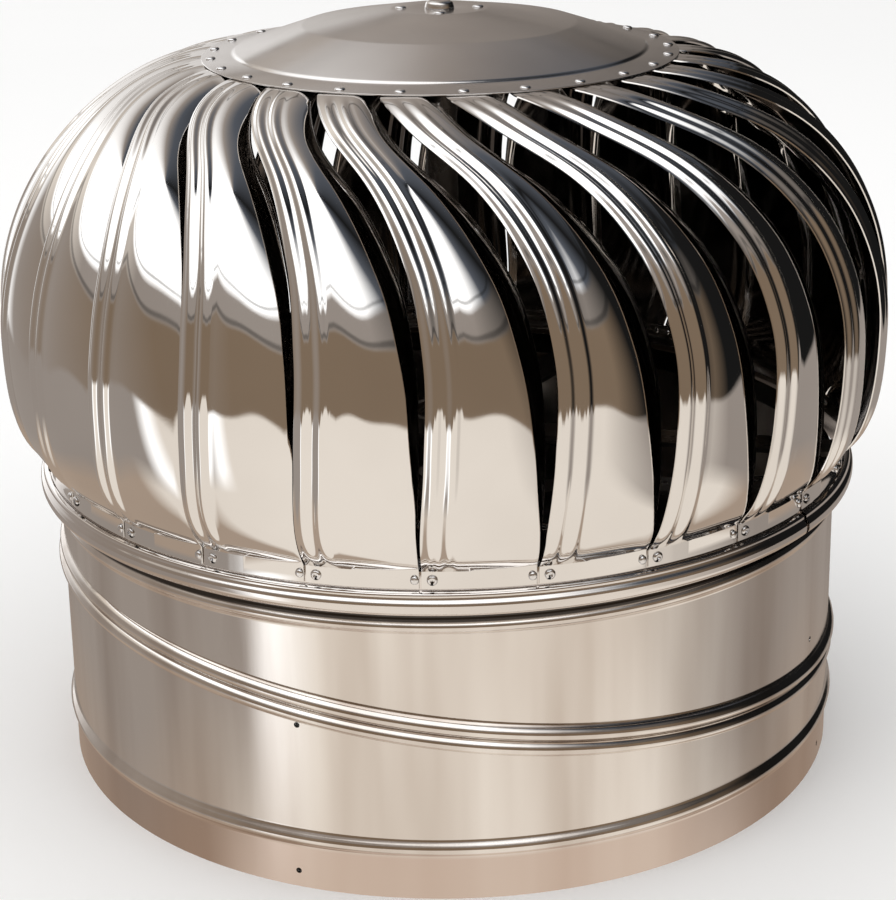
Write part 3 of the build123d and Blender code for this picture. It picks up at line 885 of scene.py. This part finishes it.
# %% Set the rivets
tab_rivet_height = 200 * mm
tab_rivet_angle = 12.4
edge_rivet_angle = 10.25
top_rivet_angle = -9.2
top_rivet_radius = 141.8 * mm
hub_rivet_radius = 23.8 * mm
hub_rivet_count = 4
turns = [number * pitch for number in range(vane_count)]


def on_tabs(angle):
    """A place and a direction on each bottom tab, at this angle from the first vane."""
    return [(spot(angle + t, tab_radius, tab_rivet_height), spot(angle + t, 1, 0)) for t in turns]


def on_flange(turn):
    """A place and a direction on the plate's flange."""
    angle = top_rivet_angle + turn
    place = spot(angle, top_rivet_radius, flange_height(top_rivet_radius) + sheet / cos(shoulder_slope))
    return place, spot(angle, sin(shoulder_slope), cos(shoulder_slope))


def round_hub(number):
    """A place and a direction round the hub."""
    place = spot(360 / hub_rivet_count * number, hub_rivet_radius, flat_height + sheet)
    return place, Vector((0, 0, 1))


hub_places = [round_hub(number) for number in range(hub_rivet_count)]
rivet_row("bottom_tab_rivets", on_tabs(tab_rivet_angle), "tab_rivets", open_stem=True)
rivet_row("neighbour_edge_rivets", on_tabs(edge_rivet_angle), "edge_rivets", head=2.5 * mm)
rivet_row("flange_rivets", [on_flange(turn) for turn in turns], "top_rivets")
rivet_row("hub_plate_rivets", hub_places, "hub_rivets", 3.4 * mm, 2.0 * mm, 3.3 * mm)
print("rivets", 3 * vane_count + hub_rivet_count)

# %% [markdown]
# ## The pieces inside
#
# The spiders, the shaft, the bearings and the nuts are plain turned and cut parts, so the frame's own
# solids are kept and only get their finish.

# %% Finish the inner pieces
for name, node in nodes.items():
    if "bearing" in name:
        finish = bearing_steel
    elif name in ("spider", "rotor_spider", "shaft", "top_housing"):
        finish = frame_steel
    elif name.endswith(("nut", "washer", "circlip")):
        finish = zinc
    else:
        continue
    node.data.materials.clear()
    node.data.materials.append(finish)
    print(name, finish.name)

# %% [markdown]
# ## The studio
#
# A mirror shows the room. So the studio is a room worth showing. From the floor up it has a cream and sand
# floor, a low cream band with one bright strip, a brown wall with one white panel at the back left, a taupe
# band, and a white ceiling. One side is black from the wall to the ceiling, behind the open vanes. It could
# be an image of a real room, but a sphere whose colour comes from the direction is lighter and can be tuned.
# Only reflections see it: the light on the table comes from the plain sky and two soft lamps.
#
# The table is white, and would wash out all the metal that faces down. So reflections don't see the table,
# and see the room's own floor instead. The price is that the metal doesn't show the white table that it
# stands on.

# %% The table
table_radius = 3.6
table_thickness = 12 * mm
table_steps = 96
table_corners = [
    (axis_radius, -table_thickness),
    (table_radius, -table_thickness),
    (table_radius, 0.0),
    (axis_radius, 0.0),
]
table = turned("table", eased(table_corners, 2 * mm, 3), table_steps)
face_outwards(table)
table_paint = bpy.data.materials.new("pale_table")
table_paint.use_nodes = True
table_shader = table_paint.node_tree.nodes["Principled BSDF"]
table_shader.inputs["Base Color"].default_value = (0.95, 0.948, 0.943, 1)
table_shader.inputs["Roughness"].default_value = 0.9
table.data.materials.append(table_paint)
table.visible_glossy = False
table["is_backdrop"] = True
print("table radius", table_radius)

# %% The patch of table under the neck
# with the table hidden from reflections, the room's floor would shine up through the open neck, so this
# patch closes the neck's foot to them
patch_radius = neck_radius - 1 * mm
patch_top = -0.5 * mm
patch_bottom = -1.5 * mm
patch_corners = [
    (axis_radius, patch_bottom),
    (patch_radius, patch_bottom),
    (patch_radius, patch_top),
    (axis_radius, patch_top),
]
under_patch = turned("table_patch_under_neck", np.array(patch_corners), table_steps)
under_patch.data.materials.append(table_paint)
under_patch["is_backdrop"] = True

# %% The room that the metal reflects
room_radius = 5.0
room_centre = (0, 0, 0.3)
bpy.ops.mesh.primitive_uv_sphere_add(segments=64, ring_count=32, radius=room_radius, location=room_centre)
room = bpy.context.object
room.name = "studio_room"
room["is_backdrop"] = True
room.visible_camera = False
room.visible_diffuse = False
room.visible_shadow = False
room.visible_volume_scatter = False


def glowing(name):
    """A material that only shines, and its tree."""
    paint = bpy.data.materials.new(name)
    paint.use_nodes = True
    tree = paint.node_tree
    tree.nodes.clear()
    out = add_node(tree, "ShaderNodeOutputMaterial")
    shine = add_node(tree, "ShaderNodeEmission", Strength=1.0)
    tree.links.new(shine.outputs["Emission"], out.inputs["Surface"])
    return paint, tree, shine


def colour_steps(tree, value, low, high, stops):
    """A ramp from low to high, in degrees, with a colour at each stop."""
    ramp = add_node(tree, "ShaderNodeValToRGB")
    tree.links.new(remap(tree, value, low, high, 0, 1), ramp.inputs["Fac"])
    marks = ramp.color_ramp.elements
    while len(marks) < len(stops):
        marks.new(1.0)
    for mark, (degrees_at, colour) in zip(marks, stops):
        mark.position = (degrees_at - low) / (high - low)
        mark.color = (*colour, 1)
    return ramp.outputs["Color"]


# %% Paints of the room
# white is above one, so that its reflection in the steel still comes out as pure white
white = (1.5, 1.5, 1.5)
cream = (0.85, 0.78, 0.70)
sand = (0.42, 0.33, 0.26)
taupe = (0.33, 0.29, 0.26)
brown = (0.22, 0.16, 0.11)
slate = (0.09, 0.10, 0.12)
black = (0.01, 0.01, 0.01)

# each zone is the height at which it starts, the softness of that edge, and its paints round the room,
# all in degrees
floor_paints = [(-180, sand), (-75, sand), (-60, cream), (90, cream), (110, sand), (180, sand)]
low_band = [(-180, taupe), (-60, taupe), (-50, white), (-40, cream), (45, cream), (90, taupe), (180, taupe)]
black_side = [(90, black), (150, black), (180, taupe)]
brown_wall = [(-180, taupe), (-150, white), (-120, taupe), (-30, brown), (60, brown), *black_side]
upper_band = [(-180, taupe), (-120, cream), (-60, taupe), (30, taupe), *black_side]
ceiling = [(-180, taupe), (-120, white), (30, white), (60, slate), (90, black), (150, slate), (180, taupe)]
zones = [(-30, 7, low_band), (-12, 2, brown_wall), (22, 2, upper_band), (35, 3, ceiling)]

# each dark line is the height of its middle and half its width, in degrees
dark_lines = [(24, 1.7), (38, 1.0)]
line_strength = 0.55
line_core = 0.3
print("zones", len(zones) + 1)

# %% Directions in the room
room_paint, tree, shine = glowing("studio_room_walls")
place = add_node(tree, "ShaderNodeTexCoord").outputs["Object"]
unit = add_node(tree, "ShaderNodeVectorMath", operation="NORMALIZE")
tree.links.new(place, unit.inputs[0])
stir = add_node(tree, "ShaderNodeTexNoise", Scale=1.3, Detail=0.0)
tree.links.new(unit.outputs["Vector"], stir.inputs["Vector"])
parts = add_node(tree, "ShaderNodeSeparateXYZ")
tree.links.new(unit.outputs["Vector"], parts.inputs["Vector"])
to_degrees = 180 / pi
forward = math_node(tree, "MULTIPLY", parts.outputs["Y"], -1)
side_angle = math_node(tree, "MULTIPLY", math_node(tree, "ARCTAN2", parts.outputs["X"], forward), to_degrees)
level = math_node(tree, "MULTIPLY", math_node(tree, "ARCSINE", parts.outputs["Z"]), to_degrees)

# the edges between zones wander up and down by a few degrees, so that they don't look ruled
stir_edges = (0.3, 0.7)
wander_reach = 3
wander = remap(tree, stir.outputs["Fac"], *stir_edges, -wander_reach, wander_reach)
height_angle = math_node(tree, "ADD", level, wander)

# %% Paint the room from the floor up
wall = colour_steps(tree, side_angle, -180, 180, floor_paints)
for start, soft, stops in zones:
    risen = remap(tree, height_angle, start - soft / 2, start + soft / 2, 0, 1)
    wall = blend_colours(tree, risen, wall, colour_steps(tree, side_angle, -180, 180, stops))
for middle, half in dark_lines:
    away = math_node(tree, "ABSOLUTE", math_node(tree, "SUBTRACT", height_angle, middle))
    wall = blend_colours(tree, remap(tree, away, half * line_core, half, line_strength, 0), wall, black)
tree.links.new(wall, shine.inputs["Color"])
room.data.materials.append(room_paint)
print("room radius", room_radius)

# %% The sky and two soft lamps
look_at = Vector((0, 0, 0.25))
world = bpy.data.worlds.new("plain_sky")
bpy.context.scene.world = world
world.use_nodes = True
world.node_tree.nodes["Background"].inputs["Color"].default_value = (1, 1, 1, 1)
world.node_tree.nodes["Background"].inputs["Strength"].default_value = 1.0


def soft_lamp(name, place, size, power):
    """A square lamp that looks at the head. Reflections don't see it."""
    lamp = bpy.data.lights.new(name, "AREA")
    lamp.shape = "SQUARE"
    lamp.size = size
    lamp.energy = power
    holder = bpy.data.objects.new(name, lamp)
    bpy.context.scene.collection.objects.link(holder)
    holder.location = place
    aim = look_at - Vector(place)
    holder.rotation_euler = aim.to_track_quat("-Z", "Y").to_euler()
    holder.visible_glossy = False


soft_lamp("window_lamp", (-1.8, -1.6, 2.2), 1.6, 14)
soft_lamp("fill_lamp", (1.9, -1.2, 1.7), 1.8, 6)
print("lamps", len(bpy.data.lights))

# %% [markdown]
# ## The camera
#
# A long lens from a little above the shoulder. The picture plane is shifted instead of tilting the camera
# further, so the neck's sides lean in less than they would.

# %% Place the camera
distance = 1.407
dip = radians(17.41)
roll = radians(0.95)
camera_data = bpy.data.cameras.new("camera")
camera = bpy.data.objects.new("camera", camera_data)
bpy.context.scene.collection.objects.link(camera)
camera.matrix_world = (
    Matrix.Translation(look_at + distance * Vector((0, -cos(dip), sin(dip))))
    @ Matrix.Rotation(pi / 2 - dip, 4, "X")
    @ Matrix.Rotation(-roll, 4, "Z")
)
camera_data.lens = 87.07
camera_data.sensor_width = 36.0
camera_data.shift_x = 0.0033
camera_data.shift_y = -0.111
camera_data.clip_start = 0.05
bpy.context.scene.camera = camera
bpy.context.scene.view_settings.view_transform = "Standard"
print("lens", camera_data.lens, "mm at", distance, "m")

# %% Print the sizes and finish
dressed_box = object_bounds()
sizes = {
    "cad": [list(corner) for corner in cad_box],
    "visual": [list(corner) for corner in dressed_box],
}
print("CAD box", sizes["cad"], "dressed box", sizes["visual"])
